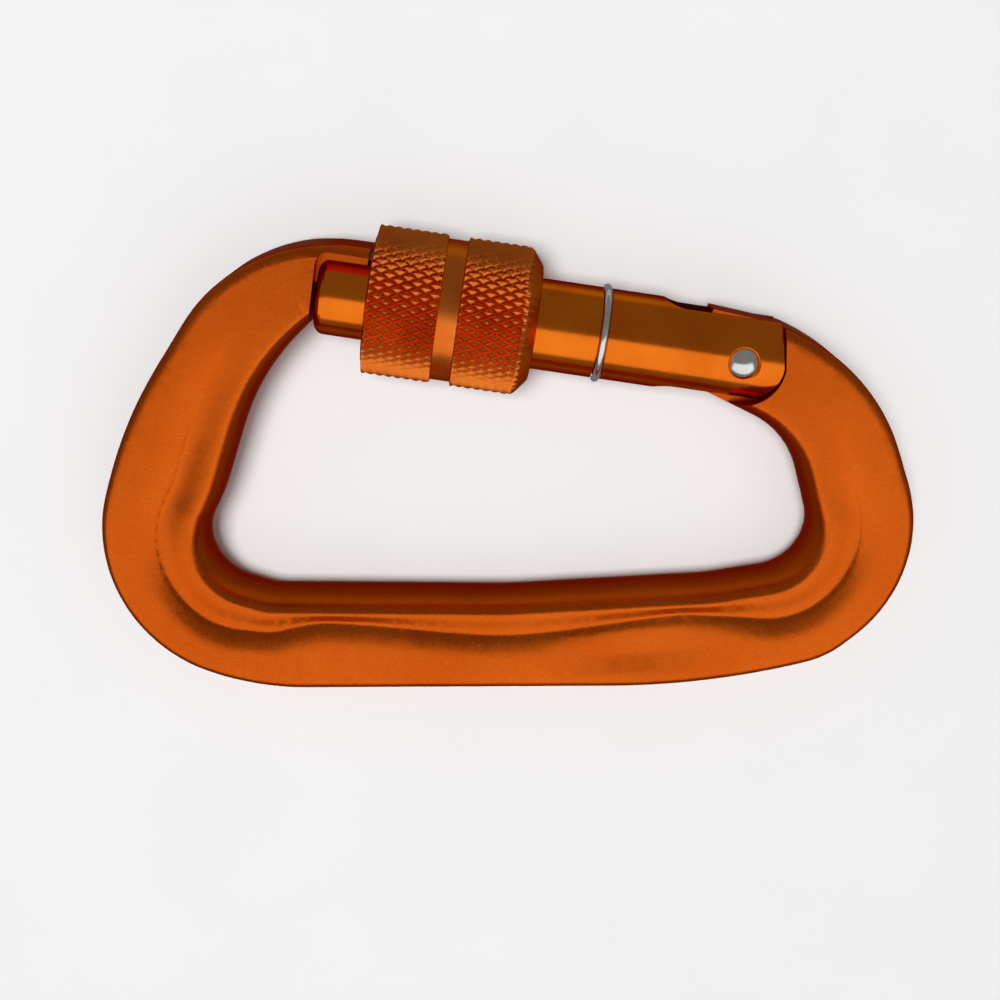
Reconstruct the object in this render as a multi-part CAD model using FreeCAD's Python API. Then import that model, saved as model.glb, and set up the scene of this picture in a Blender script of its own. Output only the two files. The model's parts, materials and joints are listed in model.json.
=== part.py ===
import FreeCAD, Part
import os
from math import atan2, ceil, cos, degrees, hypot, pi, radians, sin, sqrt, tan

# Screw-gate locking carabiner, in millimetres. The body lies flat: X runs along the spine from the wide
# end (-X) to the hinge end (+X), Y from the spine to the gate, Z through the thickness, z = 0 its middle.
# The gate is drawn in its own axes: u along the barrel towards the hinge, v outwards, pivot at (0, 0).

vec = FreeCAD.Vector

# ---- overall sizes -------------------------------------------------------------------------------
LENGTH = 79.5               # over both ends of the body
HEIGHT = 45.9               # from the back of the spine to the crown of the sleeve
THICKNESS = 8.6             # of the body
NARROWEST = 2.0             # limits of the bar's width, seen from the front
WIDEST = 16.0

# ---- body section --------------------------------------------------------------------------------
OUTER_EDGE = 1.0            # small radius along the outer edge
ROPE_ROUND = 1.5            # how far the rope-side rounding reaches into the face
NOSE_ROUND = 1.0            # the same rounding where the body meets the gate's tip
HINGE_ROUND = 1.4           # and at the hinge tang
GROOVE_DEPTH = 0.80         # forged valley in both faces, at the bends
SPINE_GROOVE_DEPTH = 0.60   # the same valley half-way along the spine
GROOVE_SLOPE_WIDTH = 2.7    # its outer slope, which eases out onto the face
GROOVE_FROM_INSIDE = 4.3    # bottom of the valley, from the rope-side edge
SPINE_FROM_INSIDE = 3.1     # the same along the spine
SPINE_WAVE = 0.55           # the valley wanders by this much either side along the spine
SPINE_WAVE_LENGTH = 38.0
GROOVE_FADE = 13.0          # length over which the valley runs out at each arm
NOSE_FLAT = 11.0            # length along the inner edge without a valley, at the nose
HINGE_FLAT = 11.0           # and at the hinge
EASE_START = 4.0            # length at each end that keeps the smaller rope-side rounding
SPINE_DIP = 0.34            # shallow dip on the outer half of the spine's face
SPINE_DIP_LENGTH = 26.0
SPINE_DIP_PLACE = 13.0      # its middle, along X
SPINE_HALF = 28.6           # from the middle of the spine to where its bends begin
SPINE_EASE = 2.5            # how quickly the spine's own sizes take over from the bends'
SPINE_FACES = -0.9          # Y of an outward normal that counts as the spine's

# ---- gate ----------------------------------------------------------------------------------------
PIVOT_FROM_END = 17.35      # rivet's centre, from the hinge end of the body
PIVOT_FROM_TOP = 12.75
TIP_FROM_END = 21.55        # gate's tip, from the wide end of the body
TIP_FROM_TOP = 6.68
AXIS_OFFSET = 0.3           # barrel's axis stands this far outside the pivot
GATE_OPENING = 25.0         # degrees
BARREL_RADIUS = 4.4
TIP_STEP = 0.35             # the tip is turned this much below the barrel
TIP_EDGE = 1.0
THREAD_RELIEF = 0.02        # crests of the gate's thread, below the barrel
THREAD_DEPTH = 0.46
THREAD_START = 5.85         # from the gate's tip
WEB_HALF = 2.1              # half thickness of the body's nose web and hinge tang
WEB_CLEARANCE = 0.15        # each side, in the gate's slots
END_STEP = 0.55             # lower corner of the gate's hinge end, inside the barrel's radius
END_TAPER = 2.4             # length over which the barrel's lower side rises to that corner
END_LEAN = 0.7              # the hinge end leans back by this much over its upper half
END_FOOT = 0.3              # that corner begins this far past the pivot
END_SHOULDER = 0.7          # the lean ends this far below the barrel's upper side
END_SLOPE = 1.2             # and the end then slopes back by this much
END_UNDER = 0.1             # the outline passes this far below the barrel
END_CLEARANCE = 0.22

# ---- nose latch ----------------------------------------------------------------------------------
BRIDGE_LENGTH = 1.3         # solid toe at the gate's tip that the body's hook catches
BRIDGE_TOP = 1.1            # its height above the pivot line
HOOK_BOTTOM = -1.1          # the hook's lower edge
HOOK_BEND_RUN = 1.952       # straight taken up by the bend from that edge down the arm
HOOK_CLEARANCE = 0.35       # hook to toe, and hook to the slot's floor
TIP_CLEARANCE = 0.25        # gate's tip to the wall of its recess
POCKET_CLEARANCE = 0.2      # gate's tip to the under side of the strip over it
POCKET_CORNER = 1.2
NOSE_WALL = 1.35            # turned radius of the nose, beyond the barrel's
NOSE_TURNED_FROM = 2.0      # it is turned above this height only
NOSE_CROWN = 0.55           # outer edge of the nose, inside its turned radius
NOSE_CONE_SLOPE = 0.36      # the cone that leads onto it
SHOULDER_GAP = 0.5          # from the locked sleeve's face to the cone

# ---- lock sleeve ---------------------------------------------------------------------------------
SLEEVE_FROM_TIP = 4.95      # gate's tip to the sleeve's near face, as drawn
SLEEVE_LENGTH = 16.1
SLEEVE_WALL = 2.8           # outside of the sleeve, beyond the barrel's radius
BAND_DEPTH = 0.4            # plain band between the two grips
BAND_START = 6.7
BAND_WIDTH = 2.1
BAND_SLOPE = 0.25           # width of each side of the band
NOSE_CHAMFER = 0.9
HINGE_CHAMFER = 1.3
HINGE_CHAMFER_DEPTH = 1.6
COUNTERBORE_DEPTH = 4.9
COUNTERBORE_CLEARANCE = 0.2
SLEEVE_THREAD_LENGTH = 5.0
THREAD_CLEARANCE = 0.05
THREAD_SPARE = 0.2          # thread left over when the sleeve is fully back
BARREL_CLEARANCE = 0.05
LOCK_TRAVEL = 4.3           # towards the nose, until the lock is made
UNLOCK_TRAVEL = 6.0         # towards the hinge, until the sleeve meets the stop ring
SWING_CLEARANCE = 0.08      # sleeve's corner past the nose as the gate swings

# ---- stop ring -----------------------------------------------------------------------------------
RING_WIRE = 0.75
RING_SHARE = 0.49           # part of the wire that sits in its groove
RING_CLEARANCE = 0.08
RING_SPLIT = 24.0           # degrees open, on the rope side

# ---- hinge ---------------------------------------------------------------------------------------
RIVET_RADIUS = 1.25
RIVET_FLANGE = 0.25         # head, beyond the shank
RIVET_DOME = 0.75
RIVET_RUNNING = 0.05
SPOTFACE_SHARE = 0.0795      # depth of the flat under each rivet head, of the barrel's radius
SPOTFACE_MARGIN = 0.1       # round the head
SLOT_START = -8.2           # round end of the hinge slot
TANG_END = -3.5
HINGE_CROWN = 0.2           # outer edge of the body at the hinge, above the barrel
TANG_STEP = 1.7             # above this the tang reaches out to TANG_END
TANG_RELIEF = 0.3           # its left edge below the cam
CAM_LEAD = 3.0              # degrees of cam before the closed gate's contact
CAM_RUN_OUT = 4.0           # and past the open gate's
CAM_SHOULDER = 0.45         # step above the cam, past the plunger's nose
CAM_SHOULDER_RISE = 0.55    # above the barrel's axis

# ---- spring and plunger --------------------------------------------------------------------------
PLUNGER_RADIUS = 1.54
PLUNGER_RUNNING = 0.06      # plunger in its bore
PLUNGER_CHAMFER = 0.3
BORE_END = -18.9
PLUNGER_NOSE = 0.8
PLUNGER_REAR = -11.6
PLUNGER_SHOULDER = -8.6
PLUNGER_REACH = 4.4         # centre of its round nose, short of the pivot
PLUNGER_RATE = 2.3          # travel per radian of the gate
PLUNGER_GAP = 0.03
SPRING_WIRE = 0.2           # wire's radius
SPRING_COIL = 1.2           # mean radius of the coils
SPRING_PITCH = 0.85
SPRING_END_GAP = 0.05

HALF = THICKNESS / 2
LEFT_END = -LENGTH / 2
RIGHT_END = LENGTH / 2
BOTTOM = -HEIGHT / 2
TOP = HEIGHT / 2
WEB_SLOT = WEB_HALF + WEB_CLEARANCE
FAR = 60.0                  # reach of cutting tools past what they cut
BORE_RADIUS = PLUNGER_RADIUS + PLUNGER_RUNNING
TIP_RADIUS = BARREL_RADIUS - TIP_STEP
SLEEVE_RADIUS = BARREL_RADIUS + SLEEVE_WALL
RIVET_HEAD = RIVET_RADIUS + RIVET_FLANGE
RING_SINK = RING_WIRE * RING_SHARE
SPOTFACE_Z = BARREL_RADIUS * (1 - SPOTFACE_SHARE)
END_RADIUS = BARREL_RADIUS - END_STEP
NOSE_TURNED = BARREL_RADIUS + NOSE_WALL
POCKET_TOP = AXIS_OFFSET + TIP_RADIUS + POCKET_CLEARANCE
BELOW = -14.0               # v of a cut that opens towards the rope side
ABOVE = 9.0                 # v of a cut that opens outwards
OVERCUT = 1.0               # how far a cut passes the middle plane or a face
SLEEVE_SIDE = 8.0           # how far a cut at the nose runs under the sleeve
NOSE_END_CUT = 4.0          # the cut that ends the nose starts this far before it and below it

# The gate's own axes, placed on the body.
PIVOT = vec(RIGHT_END - PIVOT_FROM_END, TOP - PIVOT_FROM_TOP, 0)
TIP = vec(LEFT_END + TIP_FROM_END, TOP - TIP_FROM_TOP, 0)
GATE_ANGLE = degrees(atan2(PIVOT.y - TIP.y, PIVOT.x - TIP.x))
GATE_PLACE = FreeCAD.Placement(PIVOT, FreeCAD.Rotation(vec(0, 0, 1), GATE_ANGLE))
TIP_U = -(PIVOT - TIP).Length
SLEEVE_U = TIP_U + SLEEVE_FROM_TIP
SLEEVE_END_U = SLEEVE_U + SLEEVE_LENGTH
RING_U = SLEEVE_END_U + UNLOCK_TRAVEL + RING_CLEARANCE + RING_WIRE / 2
THREAD_U = TIP_U + THREAD_START
THREAD_END_U = SLEEVE_U + COUNTERBORE_DEPTH + SLEEVE_THREAD_LENGTH + UNLOCK_TRAVEL + THREAD_SPARE
THREAD_PITCH_RADIUS = BARREL_RADIUS - THREAD_RELIEF - THREAD_DEPTH / 2
COUNTERBORE = NOSE_TURNED + COUNTERBORE_CLEARANCE
FACE_EDGE = SLEEVE_RADIUS - NOSE_CHAMFER
NOSE_REACH = hypot(SLEEVE_U, FACE_EDGE + AXIS_OFFSET) + SWING_CLEARANCE
POCKET_WALL = TIP_U - TIP_CLEARANCE


def on_body(u, v):
    """A point given in the gate's axes, as a point of the body."""
    return GATE_PLACE.multVec(vec(u, v, 0))


def left(x):
    return LEFT_END + x


def right(x):
    return RIGHT_END - x


def low(y):
    return BOTTOM + y


def high(y):
    return TOP - y


def up(share):
    return BOTTOM + HEIGHT * share


def bend(run, before, corner, after):
    """Radius of the arc at a corner that begins the given run before it."""
    return run * tan((before - corner).getAngle(after - corner) / 2)


# Corners of the two edges of the body, each with the radius of the arc that rounds it, from the nose
# round the wide end and along the spine to the hinge.
OUTER_CORNERS = [
    (on_body(SLEEVE_U + 3.0, AXIS_OFFSET + NOSE_TURNED - NOSE_CROWN), 0),
    (vec(left(14.6), high(0.6), 0), 16.3),
    (vec(left(3.1), up(0.60566), 0), 42.6),
    (vec(left(-3.65), low(6.35), 0), 15.1),
    (vec(left(15.15), low(0.12), 0), 28.1),
    (vec(right(19.9), low(0.37), 0), 79.2),
    (vec(right(7.85), low(3.37), 0), 10.0),
    (vec(right(-2.35), low(12.05), 0), 14.4),
    (vec(right(4.35), high(14.25), 0), 19.6),
    (vec(right(13.25), high(9.4), 0), 12.7),
    (on_body(TANG_END - 6.0, AXIS_OFFSET + BARREL_RADIUS + HINGE_CROWN), 0),
]
HOOK_END = on_body(SLEEVE_U + 1.5, HOOK_BOTTOM)
HOOK_BEND = on_body(TIP_U + 0.9, HOOK_BOTTOM)
NOSE_SHOULDER = vec(left(15.75), up(0.69281), 0)
INNER_CORNERS = [
    (HOOK_END, 0),
    (HOOK_BEND, bend(HOOK_BEND_RUN, HOOK_END, HOOK_BEND, NOSE_SHOULDER)),
    (NOSE_SHOULDER, 23.0),
    (vec(left(11.65), up(0.42266), 0), 18.0),
    (vec(left(7.75), low(12.3), 0), 5.1),
    (vec(left(16.15), low(9.7), 0), 4.0),
    (vec(0, low(9.5), 0), 61.0),
    (vec(right(19.45), low(10.7), 0), 11.6),
    (vec(right(8.55), low(12.5), 0), 5.0),
    (vec(right(12.25), high(20.1), 0), 9.3),
    (vec(right(23.45), high(14.56), 0), 0),
]


def rounded_edges(corners):
    """Straight runs and tangent arcs through the corners, each arc of its corner's own radius."""
    edges = []
    start = corners[0][0]
    for i in range(1, len(corners) - 1):
        corner, radius = corners[i]
        back = (corners[i - 1][0] - corner).normalize()
        ahead = (corners[i + 1][0] - corner).normalize()
        half_angle = back.getAngle(ahead) / 2
        run = radius * cos(half_angle) / sin(half_angle)
        bisector = (back + ahead).normalize()
        middle = corner + bisector * (radius / sin(half_angle) - radius)
        first = corner + back * run
        last = corner + ahead * run
        edges.append(Part.LineSegment(start, first).toShape())
        edges.append(Part.Arc(first, middle, last).toShape())
        start = last
    edges.append(Part.LineSegment(start, corners[-1][0]).toShape())
    return edges


def stations(edges, longest=2.6, turn=8.0):
    """Points along the edges with their outward normals and how far along they are."""
    found = []
    along = 0.0
    for number, edge in enumerate(edges):
        sweep = 0.0
        if edge.Curve.TypeId == "Part::GeomCircle":
            sweep = degrees(edge.Length / edge.Curve.Radius)
        count = max(ceil(edge.Length / longest), ceil(sweep / turn), 1)
        lowest, highest = edge.ParameterRange
        for k in range(count + (number == len(edges) - 1)):
            at = lowest + (highest - lowest) * k / count
            tangent = edge.tangentAt(at)
            outward = vec(tangent.y, -tangent.x, 0)
            found.append((edge.valueAt(at), outward, along + edge.Length * k / count))
        along += edge.Length
    return found, along


def smooth(x):
    x = min(max(x, 0.0), 1.0)
    return x * x * (3 - 2 * x)


def half_section(width, rope_round, groove, from_inside, dip):
    """Upper half of the section from the outer edge to the rope-side edge, as (across, height) pairs."""
    wall = HALF - OUTER_EDGE
    points = [(0.0, 0.0), (0.0, wall * 0.5), (0.0, wall * 0.85), (0.0, wall)]
    for angle in (22.5, 45.0, 67.5):
        a = radians(angle)
        points.append((OUTER_EDGE * (1 - cos(a)), wall + OUTER_EDGE * sin(a)))
    ridge = width - rope_round
    bottom = width - from_inside
    outer_steps = 10
    for k in range(outer_steps + 1):
        across = OUTER_EDGE + (bottom - OUTER_EDGE) * k / outer_steps
        slope = max(0.0, 1 - (bottom - across) / GROOVE_SLOPE_WIDTH) ** 2
        hollow = sin(pi * k / outer_steps) ** 2
        points.append((across, HALF - groove * slope - dip * hollow))
    inner_steps = 5
    for k in range(1, inner_steps + 1):
        across = bottom + (ridge - bottom) * k / inner_steps
        points.append((across, HALF - groove * (1 - smooth(k / inner_steps))))
    for angle in range(12, 90, 13):
        a = radians(angle)
        points.append((ridge + rope_round * sin(a), HALF * cos(a)))
    points.append((width, 0.0))
    return points


def parameters(points):
    """Chord lengths along a row of points, which keep a curve through them from swinging."""
    run = [0.0]
    for first, second in zip(points, points[1:]):
        run.append(run[-1] + (second - first).Length)
    return run


def curves_through(rows, run):
    """The same kind of curve through every row of points, as poles, knots and knot counts."""
    curves = []
    for row in rows:
        curve = Part.BSplineCurve()
        curve.interpolate(Points=row, Parameters=run)
        curves.append(curve)
    first = curves[0]
    return [curve.getPoles() for curve in curves], first.getKnots(), first.getMultiplicities()


def surface_through(grid):
    """A smooth surface through a grid of points, one row to each station of the body."""
    middle = len(grid) // 2
    across, across_knots, across_counts = curves_through(grid, parameters(grid[middle]))
    half_way = [row[0] * 0.5 + row[-1] * 0.5 for row in grid]
    columns = [list(column) for column in zip(*across)]
    poles, along_knots, along_counts = curves_through(columns, parameters(half_way))
    surface = Part.BSplineSurface()
    surface.buildFromPolesMultsKnots(
        poles, across_counts, along_counts, across_knots, along_knots, False, False, 3, 3
    )
    return surface


def turned(point):
    """Moves a point of the nose onto its turned cylinder, or the cone that leads onto it."""
    local = GATE_PLACE.inverse().multVec(point)
    shoulder = SLEEVE_U - LOCK_TRAVEL - SHOULDER_GAP
    limit = NOSE_TURNED + NOSE_CONE_SLOPE * max(shoulder - local.x, 0.0)
    radius = hypot(local.y - AXIS_OFFSET, local.z)
    if local.y < NOSE_TURNED_FROM or radius <= limit:
        return point
    scale = limit / radius
    across = AXIS_OFFSET + (local.y - AXIS_OFFSET) * scale
    return GATE_PLACE.multVec(vec(local.x, across, local.z * scale))


def body_section(point, normal, width, along, total):
    """The section at one station, as points of the body."""
    from_nose = smooth((along - NOSE_FLAT) / GROOVE_FADE)
    from_hinge = smooth((total - along - HINGE_FLAT) / GROOVE_FADE)
    nose_side = NOSE_ROUND + (ROPE_ROUND - NOSE_ROUND) * smooth((along - EASE_START) / NOSE_FLAT)
    from_end = total - along - EASE_START
    hinge_side = HINGE_ROUND + (ROPE_ROUND - HINGE_ROUND) * smooth(from_end / HINGE_FLAT)
    on_spine = normal.y < SPINE_FACES
    on_spine_run = smooth(SPINE_EASE * (1 - abs(point.x) / SPINE_HALF)) if on_spine else 0.0
    depth = GROOVE_DEPTH + (SPINE_GROOVE_DEPTH - GROOVE_DEPTH) * on_spine_run
    wander = SPINE_WAVE * cos(2 * pi * point.x / SPINE_WAVE_LENGTH)
    from_inside = GROOVE_FROM_INSIDE + (SPINE_FROM_INSIDE + wander - GROOVE_FROM_INSIDE) * on_spine_run
    in_dip = 1 - abs(point.x - SPINE_DIP_PLACE) / (SPINE_DIP_LENGTH / 2) if on_spine else 0.0
    rope_side = min(nose_side, hinge_side)
    groove = depth * from_nose * from_hinge
    section = half_section(width, rope_side, groove, from_inside, SPINE_DIP * smooth(in_dip))
    outer = point + normal * width
    return [turned(outer - normal * s + vec(0, 0, z)) for s, z in section]


def body_blank():
    """Upper half of the body: a section swept between its two edges, closed by the plane z = 0."""
    outer = Part.Wire(rounded_edges(OUTER_CORNERS))
    places, total = stations(rounded_edges(INNER_CORNERS))
    grid = []
    for point, normal, along in places:
        ray = Part.LineSegment(point + normal * NARROWEST, point + normal * WIDEST).toShape()
        width = (ray.distToShape(outer)[1][0][1] - point).Length
        grid.append(body_section(point, normal, width, along, total))
    skin = surface_through(grid).toShape()
    flat_edges = []
    caps = []
    for edge in skin.Edges:
        first, last = edge.ParameterRange
        if abs(edge.valueAt((first + last) / 2).z) < 1e-6:
            flat_edges.append(edge)
        else:
            line = Part.LineSegment(edge.valueAt(first), edge.valueAt(last)).toShape()
            flat_edges.append(line)
            caps.append(Part.Face(Part.Wire(Part.sortEdges([edge, line])[0])))
    base = Part.Face(Part.Wire(Part.sortEdges(flat_edges)[0]))
    shell = Part.Shell([skin, base] + caps)
    shell.sewShape()
    return Part.Solid(shell)


def plate(points, low_z, high_z, corner=None, corner_radius=0.0):
    """A flat plate in the gate's axes with the given outline; one upright edge may be rounded."""
    outline = [vec(u, v, low_z) for u, v in points]
    solid = Part.Face(Part.makePolygon(outline + outline[:1])).extrude(vec(0, 0, high_z - low_z))
    if corner:
        upright = [
            e for e in solid.Edges
            if hypot(e.CenterOfMass.x - corner[0], e.CenterOfMass.y - corner[1]) < 1e-4
        ]
        solid = solid.makeFillet(corner_radius, upright)
    return solid


def about_axis(profile):
    """A solid of revolution about the barrel's axis from (u, radius) pairs."""
    points = [vec(u, AXIS_OFFSET + r, 0) for u, r in profile]
    face = Part.Face(Part.makePolygon(points + points[:1]))
    return face.revolve(vec(0, AXIS_OFFSET, 0), vec(1, 0, 0), 360)


def upright_cylinder(radius, low_z, high_z, u=0.0, v=0.0):
    return Part.makeCylinder(radius, high_z - low_z, vec(u, v, low_z), vec(0, 0, 1))


def end_outline(radius, gap):
    """The gate's hinge end seen along Z, from the rope side round to the outer side."""
    lean = END_LEAN
    bottom = BARREL_RADIUS - AXIS_OFFSET + END_UNDER + gap
    start = vec(END_FOOT, -sqrt(radius ** 2 - END_FOOT ** 2), 0)
    half_turn = radians(45)
    middle = vec(radius * sin(half_turn), -radius * cos(half_turn), 0)
    turn = Part.Arc(start, middle, vec(radius, 0, 0)).toShape()
    rise = [
        vec(radius, 0, 0),
        vec(radius - lean, BARREL_RADIUS - END_SHOULDER, 0),
        vec(radius - lean - END_SLOPE, FAR / 4, 0),
    ]
    back = [vec(-FAR, FAR / 4, 0), vec(-FAR, -FAR / 4, 0), vec(-END_TAPER, -FAR / 4, 0)]
    back += [vec(-END_TAPER, -bottom, 0), start]
    lines = [Part.LineSegment(a, b).toShape() for a, b in zip(rise + back[:-1], rise[1:] + back)]
    return Part.Face(Part.Wire(Part.sortEdges([turn] + lines)[0]))


def cam_point(theta, inset):
    """Centre of the plunger's round nose in the tang's axes when the gate is open by theta, moved in."""
    reach = PLUNGER_REACH + PLUNGER_RATE * theta
    x = -reach * cos(theta) - AXIS_OFFSET * sin(theta)
    y = -reach * sin(theta) + AXIS_OFFSET * cos(theta)
    along_x = -PLUNGER_RATE * cos(theta) + reach * sin(theta) - AXIS_OFFSET * cos(theta)
    along_y = -PLUNGER_RATE * sin(theta) - reach * cos(theta) - AXIS_OFFSET * sin(theta)
    size = hypot(along_x, along_y)
    return vec(x - inset * along_y / size, y + inset * along_x / size, 0)


def tang_clearance():
    """What is cut from the body to leave the tang's left end: a stepped edge and the plunger's cam."""
    inset = PLUNGER_NOSE + PLUNGER_GAP
    opened = radians(GATE_OPENING)
    first = cam_point(radians(-CAM_LEAD), inset)
    last = cam_point(opened + radians(CAM_RUN_OUT), inset)
    cam = Part.Arc(first, cam_point(opened / 2, inset), last).toShape()
    outline = [
        last,
        vec(last.x - TANG_RELIEF, -ABOVE, 0),
        vec(-FAR / 3, -ABOVE, 0),
        vec(-FAR / 3, ABOVE, 0),
        vec(TANG_END, ABOVE, 0),
        vec(TANG_END, TANG_STEP, 0),
        vec(-PLUNGER_REACH + PLUNGER_NOSE + CAM_SHOULDER, AXIS_OFFSET + CAM_SHOULDER_RISE, 0),
        first,
    ]
    lines = [Part.LineSegment(a, b).toShape() for a, b in zip(outline, outline[1:])]
    face = Part.Face(Part.Wire(Part.sortEdges([cam] + lines)[0]))
    return face.extrude(vec(0, 0, HALF + OVERCUT))


def make_frame():
    high_z = HALF + OVERCUT
    under_sleeve = SLEEVE_U + SLEEVE_SIDE
    cuts = []
    # Recess for the gate's tip in the face, leaving the middle web and the strip over the tip.
    recess = [
        (POCKET_WALL, BELOW), (under_sleeve, BELOW), (under_sleeve, POCKET_TOP), (POCKET_WALL, POCKET_TOP),
    ]
    cuts.append(plate(recess, WEB_HALF, high_z, recess[3], POCKET_CORNER))
    # Notch through the web that the toe of the gate's tip stands in, so that the web ends in a hook.
    toe_right = TIP_U + BRIDGE_LENGTH + HOOK_CLEARANCE
    toe_top = BRIDGE_TOP + HOOK_CLEARANCE
    notch = [(POCKET_WALL, BELOW), (toe_right, BELOW), (toe_right, toe_top), (POCKET_WALL, toe_top)]
    cuts.append(plate(notch, -OVERCUT, high_z))
    # The nose ends in an arc about the pivot, so the gate and the sleeve swing past it.
    before_end = SLEEVE_U - NOSE_END_CUT
    nose_end = [
        (before_end, -NOSE_END_CUT), (under_sleeve, -NOSE_END_CUT),
        (under_sleeve, ABOVE), (before_end, ABOVE),
    ]
    cuts.append(plate(nose_end, -OVERCUT, high_z).common(upright_cylinder(NOSE_REACH, -OVERCUT, high_z)))
    # Room for the gate's two cheeks beside the tang.
    cheeks = end_outline(END_RADIUS + END_CLEARANCE, END_CLEARANCE)
    cheeks = cheeks.common(Part.makePlane(FAR, FAR, vec(-FAR / 3, -FAR / 2, 0)))
    cheeks.translate(vec(0, 0, WEB_HALF))
    cuts.append(cheeks.extrude(vec(0, 0, high_z)))
    cuts.append(tang_clearance())
    cuts.append(upright_cylinder(RIVET_RADIUS + RIVET_RUNNING, -OVERCUT, high_z))
    half = body_blank()
    for cut in cuts:
        cut.Placement = GATE_PLACE.multiply(cut.Placement)
        half = half.cut(cut)
    other = half.mirror(vec(0, 0, 0), vec(0, 0, 1))
    return half.fuse(other).removeSplitter()


def make_gate_barrel():
    tip_profile = [(TIP_U, 0)]
    for angle in range(0, 91, 15):
        a = radians(angle)
        tip_profile.append((TIP_U + TIP_EDGE * (1 - cos(a)), TIP_RADIUS - TIP_EDGE * (1 - sin(a))))
    groove_half = RING_WIRE / 2 + RING_CLEARANCE
    groove = BARREL_RADIUS - RING_SINK
    barrel = about_axis(tip_profile + [
        (THREAD_U, TIP_RADIUS), (THREAD_U, THREAD_PITCH_RADIUS),
        (THREAD_END_U, THREAD_PITCH_RADIUS), (THREAD_END_U, BARREL_RADIUS),
        (RING_U - groove_half, BARREL_RADIUS), (RING_U - groove_half, groove),
        (RING_U + groove_half, groove), (RING_U + groove_half, BARREL_RADIUS),
        (ABOVE, BARREL_RADIUS), (ABOVE, 0),
    ])
    outline = end_outline(END_RADIUS, 0.0).extrude(vec(0, 0, 2 * ABOVE))
    barrel = barrel.common(outline.translated(vec(0, 0, -ABOVE)))
    # Slot for the body's hook: shallow over the toe, deep behind it, ending in an arc about the pivot.
    toe = TIP_U + BRIDGE_LENGTH
    floor = HOOK_BOTTOM - HOOK_CLEARANCE
    before_tip = TIP_U - OVERCUT
    under_sleeve = SLEEVE_U + SLEEVE_SIDE
    slot_end = plate([
        (toe, floor), (under_sleeve, floor), (under_sleeve, ABOVE), (before_tip, ABOVE),
        (before_tip, BRIDGE_TOP), (toe, BRIDGE_TOP),
    ], -WEB_SLOT, WEB_SLOT)
    inner_arc = upright_cylinder(NOSE_REACH - HOOK_CLEARANCE, -WEB_SLOT - OVERCUT, WEB_SLOT + OVERCUT)
    barrel = barrel.cut(slot_end.cut(inner_arc))
    # Slot for the tang, milled from the outer side with a round end.
    round_u = SLOT_START + WEB_SLOT
    slot_sides = [(round_u, -ABOVE), (ABOVE, -ABOVE), (ABOVE, ABOVE), (round_u, ABOVE)]
    slot = plate(slot_sides, -WEB_SLOT, WEB_SLOT)
    round_end = Part.makeCylinder(WEB_SLOT, 2 * ABOVE, vec(round_u, -ABOVE, 0), vec(0, 1, 0))
    barrel = barrel.cut(slot.fuse(round_end))
    bore = Part.makeCylinder(BORE_RADIUS, -BORE_END, vec(BORE_END, AXIS_OFFSET, 0), vec(1, 0, 0))
    barrel = barrel.cut(bore)
    barrel = barrel.cut(upright_cylinder(RIVET_RADIUS, -ABOVE, ABOVE))
    spotface = RIVET_HEAD + SPOTFACE_MARGIN
    barrel = barrel.cut(upright_cylinder(spotface, SPOTFACE_Z, ABOVE))
    return barrel.cut(upright_cylinder(spotface, -ABOVE, -SPOTFACE_Z))


def make_hinge_rivet():
    ball = (RIVET_HEAD ** 2 + RIVET_DOME ** 2) / (2 * RIVET_DOME)
    rivet = upright_cylinder(RIVET_RADIUS, -SPOTFACE_Z, SPOTFACE_Z)
    for side in (-1, 1):
        dome = Part.makeSphere(ball, vec(0, 0, side * (SPOTFACE_Z + RIVET_DOME - ball)))
        height = RIVET_DOME + OVERCUT
        base = SPOTFACE_Z if side > 0 else -SPOTFACE_Z - height
        rivet = rivet.fuse(dome.common(upright_cylinder(RIVET_HEAD, base, base + height)))
    return rivet.removeSplitter()


def make_lock_sleeve():
    nose = SLEEVE_U
    end = SLEEVE_END_U
    threaded = nose + COUNTERBORE_DEPTH
    thread_end = threaded + SLEEVE_THREAD_LENGTH
    inner_thread = THREAD_PITCH_RADIUS + THREAD_CLEARANCE
    inner_barrel = BARREL_RADIUS + BARREL_CLEARANCE
    band = nose + BAND_START
    band_radius = SLEEVE_RADIUS - BAND_DEPTH
    band_end = band + BAND_WIDTH
    return about_axis([
        (nose, COUNTERBORE), (nose, FACE_EDGE), (nose + NOSE_CHAMFER, SLEEVE_RADIUS),
        (band, SLEEVE_RADIUS), (band + BAND_SLOPE, band_radius),
        (band_end - BAND_SLOPE, band_radius), (band_end, SLEEVE_RADIUS),
        (end - HINGE_CHAMFER, SLEEVE_RADIUS), (end, SLEEVE_RADIUS - HINGE_CHAMFER_DEPTH),
        (end, inner_barrel), (thread_end, inner_barrel), (thread_end, inner_thread),
        (threaded, inner_thread), (threaded, COUNTERBORE),
    ])


def make_stop_ring():
    mean = BARREL_RADIUS - RING_SINK + RING_WIRE / 2
    start = radians(-90 + RING_SPLIT / 2)
    centre = vec(RING_U, AXIS_OFFSET + mean * sin(start), mean * cos(start))
    tangent = vec(0, cos(start), -sin(start))
    section = Part.Face(Part.Wire(Part.makeCircle(RING_WIRE / 2, centre, tangent)))
    return section.revolve(vec(RING_U, AXIS_OFFSET, 0), vec(-1, 0, 0), 360 - RING_SPLIT)


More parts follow.
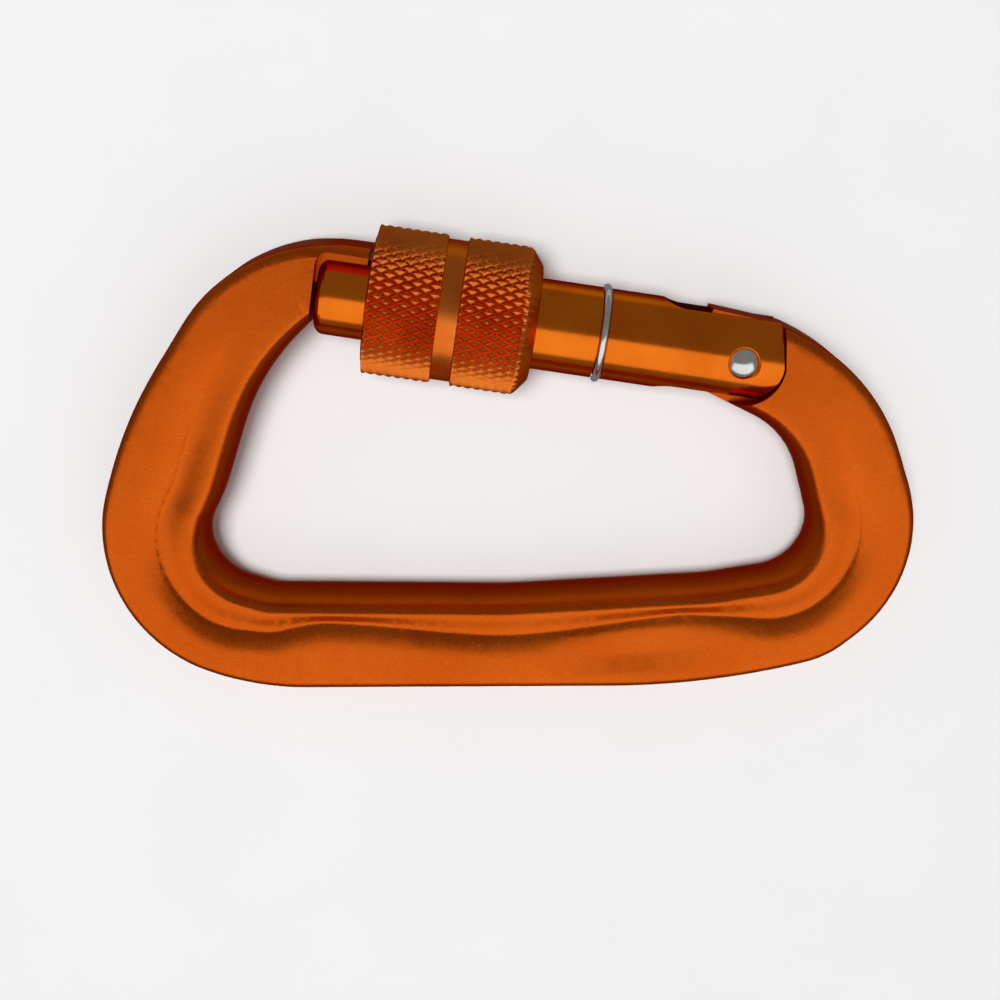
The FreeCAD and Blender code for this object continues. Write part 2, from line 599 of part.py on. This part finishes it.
def make_spring_plunger():
    nose = -PLUNGER_REACH
    rim = PLUNGER_RADIUS - PLUNGER_CHAMFER
    body = about_axis([
        (PLUNGER_REAR, 0), (PLUNGER_REAR, rim), (PLUNGER_REAR + PLUNGER_CHAMFER, PLUNGER_RADIUS),
        (PLUNGER_SHOULDER - PLUNGER_CHAMFER, PLUNGER_RADIUS), (PLUNGER_SHOULDER, rim),
        (PLUNGER_SHOULDER, PLUNGER_NOSE), (nose, PLUNGER_NOSE), (nose, 0),
    ])
    return body.fuse(Part.makeSphere(PLUNGER_NOSE, vec(nose, AXIS_OFFSET, 0))).removeSplitter()


def make_gate_spring():
    first = BORE_END + SPRING_WIRE + SPRING_END_GAP
    last = PLUNGER_REAR - SPRING_WIRE - SPRING_END_GAP
    helix = Part.makeHelix(SPRING_PITCH, last - first, SPRING_COIL)
    section = Part.Wire(Part.makeCircle(SPRING_WIRE, vec(SPRING_COIL, 0, 0), vec(0, 1, 0)))
    coil = Part.Wire(helix).makePipeShell([section], True, True)
    coil.Placement = FreeCAD.Placement(vec(first, AXIS_OFFSET, 0), FreeCAD.Rotation(vec(0, 1, 0), 90))
    return coil


def place(shape):
    shape.Placement = GATE_PLACE.multiply(shape.Placement)
    return shape


os.makedirs("parts", exist_ok=True)
nodes = {
    "frame": make_frame(),
    "gate_barrel": place(make_gate_barrel()),
    "hinge_rivet": place(make_hinge_rivet()),
    "lock_sleeve": place(make_lock_sleeve()),
    "stop_ring": place(make_stop_ring()),
    "spring_plunger": place(make_spring_plunger()),
    "gate_spring": place(make_gate_spring()),
}
for name, shape in nodes.items():
    shape.exportStep("parts/" + name + ".step")
    box = shape.optimalBoundingBox()
    print(name, "valid", shape.isValid(), "solids", len(shape.Solids), "volume %.1f" % shape.Volume)
    print("  from %.2f %.2f %.2f" % (box.XMin, box.YMin, box.ZMin))
    print("  to %.2f %.2f %.2f" % (box.XMax, box.YMax, box.ZMax))
print("pivot %.3f %.3f" % (PIVOT.x, PIVOT.y), "gate angle %.3f" % GATE_ANGLE)
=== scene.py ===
"""Screw-gate locking carabiner: the looks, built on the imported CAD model. Lengths are in metres."""

import json
import math

import bpy
from mathutils import Matrix, Vector


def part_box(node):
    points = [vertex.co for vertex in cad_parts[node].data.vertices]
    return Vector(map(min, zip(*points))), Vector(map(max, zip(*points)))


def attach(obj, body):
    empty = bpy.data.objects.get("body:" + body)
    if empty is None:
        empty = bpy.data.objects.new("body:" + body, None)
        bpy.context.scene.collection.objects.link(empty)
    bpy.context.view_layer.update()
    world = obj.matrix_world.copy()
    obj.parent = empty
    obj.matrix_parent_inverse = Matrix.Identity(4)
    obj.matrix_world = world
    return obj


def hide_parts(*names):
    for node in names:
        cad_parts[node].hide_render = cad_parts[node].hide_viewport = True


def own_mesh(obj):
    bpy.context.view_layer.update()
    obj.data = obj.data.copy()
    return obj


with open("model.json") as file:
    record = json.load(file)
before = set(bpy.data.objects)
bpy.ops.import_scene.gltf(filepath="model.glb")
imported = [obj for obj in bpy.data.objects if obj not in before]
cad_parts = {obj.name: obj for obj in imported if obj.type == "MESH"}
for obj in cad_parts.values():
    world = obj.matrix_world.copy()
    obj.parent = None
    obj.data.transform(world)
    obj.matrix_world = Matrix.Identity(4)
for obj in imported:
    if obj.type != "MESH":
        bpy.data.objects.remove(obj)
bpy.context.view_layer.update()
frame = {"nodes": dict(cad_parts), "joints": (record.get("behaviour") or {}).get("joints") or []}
NODES = frame["nodes"]
MM = 0.001

# The gate's own axes come from its joints: along the barrel towards the hinge, and outwards.
JOINTS = {joint["name"]: joint for joint in frame["joints"]}
ALONG = Vector(JOINTS["ring_turn"]["axis"]).normalized()
UP = Vector((0, 0, 1))
OUTWARD = UP.cross(ALONG)
PIVOT = Vector(JOINTS["gate_hinge"]["pos_m"])
RING = Vector(JOINTS["ring_turn"]["pos_m"])
AXIS_START = RING - ALONG * (RING - PIVOT).dot(ALONG)
GATE_AXES = Matrix.Translation(AXIS_START) @ Matrix((ALONG, OUTWARD, UP)).transposed().to_4x4()

# Sleeve, as the CAD node has it; radii are about the barrel's axis.
NOSE_CHAMFER = 0.9 * MM
HINGE_CHAMFER = 1.3 * MM
HINGE_CHAMFER_DEPTH = 1.6 * MM
BAND_START = 6.7 * MM
BAND_WIDTH = 2.1 * MM
BAND_DEPTH = 0.4 * MM
COUNTERBORE = 5.95 * MM
COUNTERBORE_DEPTH = 4.9 * MM
THREAD_LENGTH = 5.0 * MM
SLEEVE_BORE = 4.45 * MM
KNURLS_AROUND = 50
KNURL_STEPS = 8             # grid steps from one groove to the next
KNURL_LENGTH = 1.75 * MM    # of one diamond, along the barrel
KNURL_DEPTH = 0.38 * MM
KNURL_ROUNDING = 1.5        # power that rounds the crests; 1 leaves them sharp
KNURL_INSET = 0.2 * MM      # plain strip between the nose chamfer and the first diamond
MOUTH_BREAK = 0.15 * MM     # broken edges of the counterbore's mouth and of the nose face
NOSE_FACE_LIP = 0.06 * MM
BAND_FRACTIONS = (0.06, 0.12, 0.3, 0.5, 0.7, 0.88, 0.94)
CHAMFER_START = (0.25 * MM, 0.30 * MM)  # along the barrel and down from the crown
HINGE_FACE_LIP = 0.08 * MM
BORE_BREAK = 0.12 * MM
THREAD_RUN_IN = 0.02 * MM
THREAD_ROWS_PER_TURN = 8

# Screw thread of the gate and the sleeve.
LEAD = 2.0 * MM
THREAD_ROOT = 4.12 * MM
THREAD_CREST = 4.38 * MM
THREAD_START = -35.2 * MM
THREAD_END = -20.0 * MM
THREAD_SLACK = 0.06 * MM
FLANK_GAIN = 2.2            # steepness of the flanks against a plain triangle
FLANK_SHIFT = 0.6           # taken off after, which sets the flat roots
RIDGE_SEGMENTS = 72         # around one turn of the ridge on the barrel
RIDGE_HALF_ROOT = 0.27 * LEAD
RIDGE_HALF_CREST = 0.10 * LEAD
RIDGE_SUNK = 0.08 * MM      # below the root, inside the metal
RIDGE_FADE = 24             # segments over which each end of the ridge rises

# Stop ring.
WIRE_SIDES = 24
WIRE_SEGMENTS = 160
WIRE_EASE = ((0.0, 0.0), (0.03, 0.5), (0.12, 0.8), (0.3, 0.96))  # wire radii along, share of full size
WIRE_EASE_REACH = 0.6       # wire radii from each end to the first full section
WIRE_END_SIZE = 0.05        # smallest share of full size, so that no section is a point

# Stage.
SPINE_INSET = 2.0 * MM      # from the body's lowest edge to where its back meets the ground
FLOOR_GAP = 0.06 * MM
FLOOR_HALF = 2.5
WORLD_STRENGTH = 0.20
SENSOR_WIDTH = 36.0
LENS = 56.77
CLIP_START = 0.01
CAMERA_TARGET = Vector((-0.7, -4.25, 0)) * MM
CAMERA_TILT = math.radians(15.1)
CAMERA_DISTANCE = 157 * MM


# ---- small node tools --------------------------------------------------------------------------------

class Shader:
    """One Principled material with helpers that add and link nodes."""

    def __init__(self, name, colour, roughness, metallic=1.0, grazing=(1, 1, 1)):
        self.material = bpy.data.materials.new(name)
        self.material.use_nodes = True
        self.tree = self.material.node_tree
        self.principled = self.tree.nodes["Principled BSDF"]
        self.principled.inputs["Base Color"].default_value = (*colour, 1)
        self.principled.inputs["Roughness"].default_value = roughness
        self.principled.inputs["Metallic"].default_value = metallic
        self.principled.inputs["Specular Tint"].default_value = (*grazing, 1)
        self.place = self.add("ShaderNodeTexCoord").outputs["Object"]

    def add(self, kind, **settings):
        node = self.tree.nodes.new(kind)
        for key, value in settings.items():
            setattr(node, key, value)
        return node

    def link(self, source, target):
        self.tree.links.new(source, target)

    def scaled(self, factors, rotation=None):
        """The object's coordinates, turned into the gate's axes if asked and stretched."""
        mapping = self.add("ShaderNodeMapping", vector_type="TEXTURE" if rotation else "POINT")
        self.link(self.place, mapping.inputs["Vector"])
        if rotation:
            mapping.inputs["Rotation"].default_value = rotation
            stretch = self.add("ShaderNodeVectorMath", operation="MULTIPLY")
            self.link(mapping.outputs["Vector"], stretch.inputs[0])
            stretch.inputs[1].default_value = factors
            return stretch.outputs["Vector"]
        mapping.inputs["Scale"].default_value = factors
        return mapping.outputs["Vector"]

    def noise(self, scale, detail=3.0, rough=0.55, vector=None):
        node = self.add("ShaderNodeTexNoise")
        node.inputs["Scale"].default_value = scale
        node.inputs["Detail"].default_value = detail
        node.inputs["Roughness"].default_value = rough
        self.link(vector or self.place, node.inputs["Vector"])
        return node.outputs["Fac"]

    def math(self, operation, first, second=0.0):
        node = self.add("ShaderNodeMath", operation=operation)
        for socket, value in zip(node.inputs, (first, second)):
            if isinstance(value, (int, float)):
                socket.default_value = value
            else:
                self.link(value, socket)
        return node.outputs[0]

    def ramp(self, factor, low, high, first=0.0, last=1.0):
        node = self.add("ShaderNodeMapRange")
        self.link(factor, node.inputs["Value"])
        node.inputs["From Min"].default_value = low
        node.inputs["From Max"].default_value = high
        node.inputs["To Min"].default_value = first
        node.inputs["To Max"].default_value = last
        return node.outputs["Result"]

    def mix(self, factor, first, second, blend="MIX"):
        node = self.add("ShaderNodeMix", data_type="RGBA", blend_type=blend)
        if isinstance(factor, (int, float)):
            node.inputs["Factor"].default_value = factor
        else:
            self.link(factor, node.inputs["Factor"])
        for socket, value in ((node.inputs["A"], first), (node.inputs["B"], second)):
            if isinstance(value, tuple):
                socket.default_value = (*value, 1)
            else:
                self.link(value, socket)
        return node.outputs["Result"]

    def facing(self, blend=0.5):
        node = self.add("ShaderNodeLayerWeight")
        node.inputs["Blend"].default_value = blend
        return node.outputs["Facing"]

    def bump(self, height, strength, distance, onto=None):
        node = self.add("ShaderNodeBump")
        node.inputs["Strength"].default_value = strength
        node.inputs["Distance"].default_value = distance
        self.link(height, node.inputs["Height"])
        if onto:
            self.link(onto, node.inputs["Normal"])
        return node.outputs["Normal"]

    def finish(self, colour=None, roughness=None, normal=None):
        for source, name in ((colour, "Base Color"), (roughness, "Roughness"), (normal, "Normal")):
            if source:
                self.link(source, self.principled.inputs[name])
        return self.material


# ---- materials ---------------------------------------------------------------------------------------

def satin_anodised():
    """Forged body, blasted and dyed: fine grain, slow ripples, and painted shade that turns it darker
    and redder at grazing angles.
    """
    s = Shader("body_satin_orange", (0.80, 0.13, 0.010), 0.34, grazing=(0.85, 0.24, 0.07))
    cloud = s.noise(90, 4)
    grain = s.noise(5200, 2, 0.7)
    tone = s.mix(s.ramp(cloud, 0.35, 0.65), (0.74, 0.115, 0.007), (0.84, 0.145, 0.010))
    speckle = s.mix(s.ramp(grain, 0.38, 0.66), (0.80, 0.80, 0.80), (1.0, 1.0, 1.0))
    tone = s.mix(1.0, tone, speckle, "MULTIPLY")
    # painted shade: the colour is mixed towards dark red where the surface turns away from the view
    painted_rim_shade = s.ramp(s.facing(), 0.45, 0.95)
    tone = s.mix(painted_rim_shade, tone, (0.48, 0.07, 0.02))
    roughness = s.math("ADD", s.ramp(grain, 0.3, 0.7, -0.05, 0.06),
                       s.ramp(cloud, 0.3, 0.7, 0.30, 0.37))
    ripple = s.bump(s.noise(240, 2, 0.4), 0.35, 0.00006)
    normal = s.bump(grain, 0.30, 0.00001, ripple)
    return s.finish(tone, roughness, normal)


def bright_anodised():
    """Turned gate: polished, then dyed. Fine lathe lines run round the barrel."""
    s = Shader("gate_bright_orange", (0.86, 0.19, 0.012), 0.17, grazing=(0.8, 0.2, 0.04))
    turn = math.atan2(ALONG.y, ALONG.x)
    lathe = s.noise(1.0, 3, 0.6, s.scaled((9000, 120, 120), (0, 0, turn)))
    cloud = s.noise(160, 3)
    tone = s.mix(s.ramp(cloud, 0.35, 0.65), (0.80, 0.16, 0.009), (0.90, 0.21, 0.012))
    # painted shade: the colour darkens where the barrel turns away from the view
    tone = s.mix(s.ramp(s.facing(), 0.55, 0.98), tone, (0.42, 0.05, 0.008))
    roughness = s.math("ADD", s.ramp(lathe, 0.3, 0.7, -0.03, 0.05),
                       s.ramp(cloud, 0.3, 0.7, 0.15, 0.19))
    normal = s.bump(lathe, 0.10, 0.000006, s.bump(s.noise(420, 2), 0.12, 0.00001))
    return s.finish(tone, roughness, normal)


def knurled_anodised():
    """Sleeve: the same dye over rolled diamonds, with painted shade that darkens the facets turned away
    from the view.
    """
    s = Shader("sleeve_orange", (0.84, 0.19, 0.022), 0.33, grazing=(0.9, 0.3, 0.08))
    grain = s.noise(3600, 3, 0.6)
    cloud = s.noise(260, 3)
    tone = s.mix(s.ramp(cloud, 0.35, 0.65), (0.78, 0.165, 0.020), (0.92, 0.225, 0.028))
    # painted shade: the colour darkens where the facets turn away from the view
    tone = s.mix(s.ramp(s.facing(), 0.60, 0.98), tone, (0.45, 0.06, 0.012))
    roughness = s.math("ADD", s.ramp(grain, 0.3, 0.7, -0.04, 0.06),
                       s.ramp(cloud, 0.3, 0.7, 0.28, 0.35))
    normal = s.bump(grain, 0.20, 0.000008)
    return s.finish(tone, roughness, normal)


def polished_steel():
    """Ring and rivet: bright steel with fine handling scratches."""
    s = Shader("polished_steel", (0.76, 0.75, 0.71), 0.14)
    scratch = s.noise(1.0, 4, 0.7, s.scaled((1200, 9000, 2600)))
    cloud = s.noise(700, 3)
    tone = s.mix(s.ramp(cloud, 0.35, 0.65), (0.66, 0.65, 0.61), (0.82, 0.81, 0.78))
    roughness = s.math("ADD", s.ramp(scratch, 0.35, 0.7, 0.0, 0.10),
                       s.ramp(cloud, 0.3, 0.7, 0.09, 0.17))
    normal = s.bump(scratch, 0.15, 0.000006, s.bump(s.noise(900, 2), 0.35, 0.00003))
    return s.finish(tone, roughness, normal)


def drawn_steel():
    """Spring and plunger: drawn wire and turned steel with a film of oil."""
    s = Shader("drawn_steel", (0.52, 0.52, 0.53), 0.3)
    lines = s.noise(1.0, 3, 0.6, s.scaled((7000, 600, 600)))
    tone = s.mix(s.ramp(s.noise(500, 3), 0.35, 0.65), (0.44, 0.44, 0.46), (0.58, 0.58, 0.58))
    roughness = s.ramp(lines, 0.3, 0.7, 0.24, 0.38)
    return s.finish(tone, roughness, s.bump(lines, 0.2, 0.000006))


def backdrop_paper():
    s = Shader("backdrop_paper", (0.87, 0.87, 0.87), 0.8, 0.0)
    tone = s.mix(s.ramp(s.noise(60, 2), 0.3, 0.7), (0.865, 0.865, 0.866), (0.88, 0.88, 0.88))
    return s.finish(tone)


# ---- meshes ------------------------------------------------------------------------------------------

def mesh_piece(name, points, faces, material, body, sharp_degrees):
    """A mesh in the gate's axes, put where the gate is, with sharp edges kept sharp."""
    mesh = bpy.data.meshes.new(name)
    mesh.from_pydata([GATE_AXES @ Vector(p) for p in points], [], faces)
    mesh.validate()
    mesh.polygons.foreach_set("use_smooth", [True] * len(mesh.polygons))
    mesh.set_sharp_from_angle(angle=math.radians(sharp_degrees))
    mesh.materials.append(material)
    piece = bpy.data.objects.new(name, mesh)
    bpy.context.scene.collection.objects.link(piece)
    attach(piece, body)
    return piece


def triangle_wave(x):
    """0 at whole numbers and 1 half-way between them."""
    return 1 - abs(2 * (x % 1.0) - 1)


def sleeve_profile(near, far, crown):
    """Rows of the sleeve from its nose face round its outside and back through its bore.

    Each is (u, radius, kind), but a knurled row has how many diamonds along it is in place of a radius.
    """
    step = KNURL_LENGTH / KNURL_STEPS
    rows = [(near, COUNTERBORE + MOUTH_BREAK, "plain")]
    rows.append((near, crown - NOSE_CHAMFER - MOUTH_BREAK, "plain"))
    rows.append((near + NOSE_FACE_LIP, crown - NOSE_CHAMFER, "plain"))
    band = near + BAND_START
    chamfer = far - HINGE_CHAMFER
    for start, end in ((near + KNURL_INSET, band), (band + BAND_WIDTH, chamfer)):
        count = round((end - start) / step)
        for k in range(count + 1):
            rows.append((start + step * k, k / KNURL_STEPS, "knurl"))
        if end == band:
            for fraction in BAND_FRACTIONS:
                rows.append((band + BAND_WIDTH * fraction, crown - BAND_DEPTH, "plain"))
    end_radius = crown - HINGE_CHAMFER_DEPTH
    rows.append((chamfer + CHAMFER_START[0], crown - CHAMFER_START[1], "plain"))
    rows.append((far - HINGE_FACE_LIP, end_radius + HINGE_FACE_LIP, "plain"))
    rows.append((far, end_radius - HINGE_FACE_LIP, "plain"))
    rows.append((far, SLEEVE_BORE + BORE_BREAK, "plain"))
    thread_from = near + COUNTERBORE_DEPTH
    thread_to = thread_from + THREAD_LENGTH
    rows.append((far - BORE_BREAK, SLEEVE_BORE, "plain"))
    rows.append((thread_to + THREAD_RUN_IN, SLEEVE_BORE, "plain"))
    turns = round(THREAD_LENGTH / LEAD * THREAD_ROWS_PER_TURN)
    for k in range(turns, -1, -1):
        rows.append((thread_from + THREAD_LENGTH * k / turns, 0.0, "thread"))
    rows.append((thread_from - THREAD_RUN_IN, COUNTERBORE, "plain"))
    rows.append((near + MOUTH_BREAK, COUNTERBORE, "plain"))
    return rows


def thread_height(u, angle):
    """0 at the thread's root and 1 at its crest, for a right-hand thread with flat roots and crests."""
    turn = u / LEAD - angle / (2 * math.pi)
    return min(max(triangle_wave(turn) * FLANK_GAIN - FLANK_SHIFT, 0.0), 1.0)


def knurl_radius(along, around, crown):
    """Radius of a surface where two sets of rolled grooves cross and leave rounded diamonds."""
    lift = min(triangle_wave(around + along), triangle_wave(around - along))
    return crown - KNURL_DEPTH * (1 - lift) ** KNURL_ROUNDING


def in_gate_axes(name):
    """The corners of a CAD node in the gate's axes."""
    node = NODES[name]
    to_gate = GATE_AXES.inverted() @ node.matrix_world
    return [to_gate @ v.co for v in node.data.vertices]


def make_sleeve(material):
    local = in_gate_axes("lock_sleeve")
    near = min(p.x for p in local)
    far = max(p.x for p in local)
    crown = max(math.hypot(p.y, p.z) for p in local)
    columns = KNURLS_AROUND * KNURL_STEPS
    rows = sleeve_profile(near, far, crown)
    points = []
    for u, radius, kind in rows:
        for c in range(columns):
            angle = 2 * math.pi * c / columns
            r = radius
            if kind == "knurl":
                r = knurl_radius(radius, c / KNURL_STEPS, crown)
            elif kind == "thread":
                r = THREAD_ROOT + THREAD_SLACK + (THREAD_CREST - THREAD_ROOT) * thread_height(u, angle)
            points.append((u, r * math.cos(angle), r * math.sin(angle)))
    faces = []
    for i in range(len(rows)):
        below = i * columns
        above = (i + 1) % len(rows) * columns
        for c in range(columns):
            d = (c + 1) % columns
            quad = (below + c, below + d, above + d, above + c)
            if rows[i][2] == "knurl" and rows[(i + 1) % len(rows)][2] == "knurl":
                faces += knurl_triangles(quad, points)
            else:
                faces.append(quad)
    sleeve = mesh_piece("knurled_sleeve", points, faces, material, "sleeve", 28.0)
    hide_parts("lock_sleeve")


def knurl_triangles(quad, points):
    """Splits a cell along the diagonal that lies in a groove or on a crest."""
    a, b, c, d = quad
    heights = [math.hypot(points[k][1], points[k][2]) for k in quad]
    if abs(heights[0] - heights[2]) < abs(heights[1] - heights[3]):
        return [(a, b, c), (a, c, d)]
    return [(a, b, d), (b, c, d)]


def make_gate_thread(material):
    """The thread's ridge, wound on the barrel, with its ends sunk into the metal."""
    turns = (THREAD_END - THREAD_START) / LEAD
    count = int(RIDGE_SEGMENTS * turns)
    foot = THREAD_ROOT - RIDGE_SUNK
    points = []
    for k in range(count + 1):
        angle = 2 * math.pi * k / RIDGE_SEGMENTS
        fade = min(1.0, k / RIDGE_FADE, (count - k) / RIDGE_FADE)
        crest = foot + (THREAD_CREST - THREAD_ROOT + RIDGE_SUNK) * fade
        middle = THREAD_START + LEAD * (0.5 + k / RIDGE_SEGMENTS)
        for du, r in ((-RIDGE_HALF_ROOT, foot), (-RIDGE_HALF_CREST, crest),
                      (RIDGE_HALF_CREST, crest), (RIDGE_HALF_ROOT, foot)):
            u = min(max(middle + du, THREAD_START), THREAD_END)
            points.append((u, r * math.cos(angle), r * math.sin(angle)))
    faces = [(0, 1, 2, 3)]
    for k in range(count):
        a = 4 * k
        for j in range(4):
            n = (j + 1) % 4
            faces.append((a + j, a + 4 + j, a + 4 + n, a + n))
    last = 4 * count
    faces.append((last + 3, last + 2, last + 1, last))
    mesh_piece("gate_thread", points, faces, material, "gate", 30.0)


def make_ring_wire(material):
    """The stop ring: round wire with eased ends, open on the rope side as its CAD node is."""
    local = in_gate_axes("stop_ring")
    near = min(p.x for p in local)
    far = max(p.x for p in local)
    wire = (far - near) / 2
    outer = max(math.hypot(p.y, p.z) for p in local)
    mean = outer - wire
    angles = [math.atan2(-p.y, p.z) for p in local]
    opening = min(abs(a - math.pi / 2) for a in angles)
    centre = (near + far) / 2
    points = []
    stations = []
    ease = wire / mean
    first = math.pi / 2 + opening
    sweep = 2 * math.pi - 2 * opening
    for along, size in WIRE_EASE:
        stations.append((first + ease * along, size))
    start = first + ease * WIRE_EASE_REACH
    full = sweep - 2 * WIRE_EASE_REACH * ease
    for k in range(1, WIRE_SEGMENTS):
        stations.append((start + full * k / WIRE_SEGMENTS, 1.0))
    for along, size in reversed(WIRE_EASE):
        stations.append((first + sweep - ease * along, size))
    for angle, size in stations:
        size = max(size, WIRE_END_SIZE)
        for k in range(WIRE_SIDES):
            turn = 2 * math.pi * k / WIRE_SIDES
            u = centre + wire * size * math.sin(turn)
            r = mean + wire * size * math.cos(turn)
            points.append((u, -r * math.sin(angle), r * math.cos(angle)))
    faces = []
    for i in range(len(stations) - 1):
        for k in range(WIRE_SIDES):
            n = (k + 1) % WIRE_SIDES
            near_side = i * WIRE_SIDES
            far_side = near_side + WIRE_SIDES
            faces.append((near_side + k, near_side + n, far_side + n, far_side + k))
    faces.append(tuple(range(WIRE_SIDES)))
    base = (len(stations) - 1) * WIRE_SIDES
    faces.append(tuple(base + k for k in reversed(range(WIRE_SIDES))))
    ring = mesh_piece("ring_wire", points, faces, material, "ring", 60.0)
    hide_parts("stop_ring")


def make_spring(material):
    """The gate's spring in its bore, copied from its CAD node and carried rigidly with the gate; the
    copy does not shorten as the plunger comes in.
    """
    node = NODES["gate_spring"]
    mesh = node.data.copy()
    mesh.materials.clear()
    mesh.materials.append(material)
    spring = bpy.data.objects.new("coil_spring", mesh)
    bpy.context.scene.collection.objects.link(spring)
    spring.matrix_world = node.matrix_world.copy()
    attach(spring, "gate")
    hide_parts("gate_spring")
    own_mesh(spring)


def paint(node, material):
    mesh = NODES[node].data
    mesh.materials.clear()
    mesh.materials.append(material)


# ---- stage -------------------------------------------------------------------------------------------

def make_floor(material):
    """Pale ground that the closed carabiner lies on: it touches the sleeve and the back of the spine."""
    sleeve_low, sleeve_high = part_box("lock_sleeve")
    body_low, body_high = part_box("frame")
    axis_y = sleeve_low.y + sleeve_high.z
    spine_y = body_low.y + SPINE_INSET
    slope = (body_low.z - sleeve_low.z) / (axis_y - spine_y)
    height = sleeve_low.z - FLOOR_GAP + slope * axis_y
    corners = [(x * FLOOR_HALF, y * FLOOR_HALF, height - slope * y * FLOOR_HALF)
               for x, y in ((-1, -1), (1, -1), (1, 1), (-1, 1))]
    mesh = bpy.data.meshes.new("floor")
    mesh.from_pydata(corners, [], [(0, 1, 2, 3)])
    mesh.materials.append(material)
    floor = bpy.data.objects.new("floor", mesh)
    bpy.context.scene.collection.objects.link(floor)
    floor.visible_glossy = False


def look_at(thing, place, target, top=Vector((0, 1, 0))):
    back = (place - target).normalized()
    right = top.cross(back).normalized()
    turned = Matrix((right, back.cross(right), back)).transposed().to_4x4()
    thing.matrix_world = Matrix.Translation(place) @ turned


def area_light(name, place, size, watts):
    """A lamp that lights surfaces but isn't seen in their reflections."""
    lamp = bpy.data.lights.new(name, "AREA")
    lamp.shape = "RECTANGLE"
    lamp.size, lamp.size_y = size
    lamp.energy = watts
    light = bpy.data.objects.new(name, lamp)
    bpy.context.scene.collection.objects.link(light)
    look_at(light, Vector(place), Vector((0, 0, 0)))
    light.visible_glossy = False


def softbox(name, place, size, strength):
    """A glowing panel that only shows in reflections."""
    material = bpy.data.materials.new(name)
    material.use_nodes = True
    tree = material.node_tree
    tree.nodes.clear()
    glow = tree.nodes.new("ShaderNodeEmission")
    glow.inputs["Strength"].default_value = strength
    out = tree.nodes.new("ShaderNodeOutputMaterial")
    tree.links.new(glow.outputs[0], out.inputs["Surface"])
    w, h = size[0] / 2, size[1] / 2
    mesh = bpy.data.meshes.new(name)
    mesh.from_pydata([(-w, -h, 0), (w, -h, 0), (w, h, 0), (-w, h, 0)], [], [(0, 1, 2, 3)])
    mesh.materials.append(material)
    panel = bpy.data.objects.new(name, mesh)
    bpy.context.scene.collection.objects.link(panel)
    look_at(panel, Vector(place), Vector((0, 0, 0)))
    panel.visible_camera = False
    panel.visible_diffuse = False
    panel.visible_shadow = False


def in_the_upright_plane(degrees, distance):
    """A place at the given angle from straight above the face, towards the gate side."""
    a = math.radians(degrees)
    return (0.0, distance * math.sin(a), distance * math.cos(a))


def make_lights():
    softbox("front_panel", in_the_upright_plane(-36, 0.75), size=(2.6, 0.96), strength=0.98)
    softbox("back_panel", in_the_upright_plane(120, 0.8), size=(2.0, 0.30), strength=0.40)
    area_light("key", place=(-0.10, 0.13, 0.80), size=(0.24, 0.24), watts=5.1)
    area_light("fill", place=(0.2, -0.2, 0.9), size=(0.9, 0.9), watts=1.2)
    world = bpy.data.worlds.new("studio")
    bpy.context.scene.world = world
    world.use_nodes = True
    background = world.node_tree.nodes["Background"]
    background.inputs["Color"].default_value = (1, 1, 1, 1)
    background.inputs["Strength"].default_value = WORLD_STRENGTH


def make_camera():
    camera = bpy.data.objects.new("camera", bpy.data.cameras.new("camera"))
    bpy.context.scene.collection.objects.link(camera)
    camera.data.sensor_width = SENSOR_WIDTH
    camera.data.lens = LENS
    camera.data.clip_start = CLIP_START
    towards = Vector((0, math.sin(CAMERA_TILT), math.cos(CAMERA_TILT)))
    look_at(camera, CAMERA_TARGET + towards * CAMERA_DISTANCE, CAMERA_TARGET)
    bpy.context.scene.camera = camera


bpy.context.scene.view_settings.view_transform = "Standard"
steel = polished_steel()
drawn = drawn_steel()
bright = bright_anodised()
paint("frame", satin_anodised())
paint("gate_barrel", bright)
paint("hinge_rivet", steel)
paint("spring_plunger", drawn)
make_spring(drawn)
make_sleeve(knurled_anodised())
make_gate_thread(bright)
make_ring_wire(steel)
make_floor(backdrop_paper())
make_lights()
make_camera()
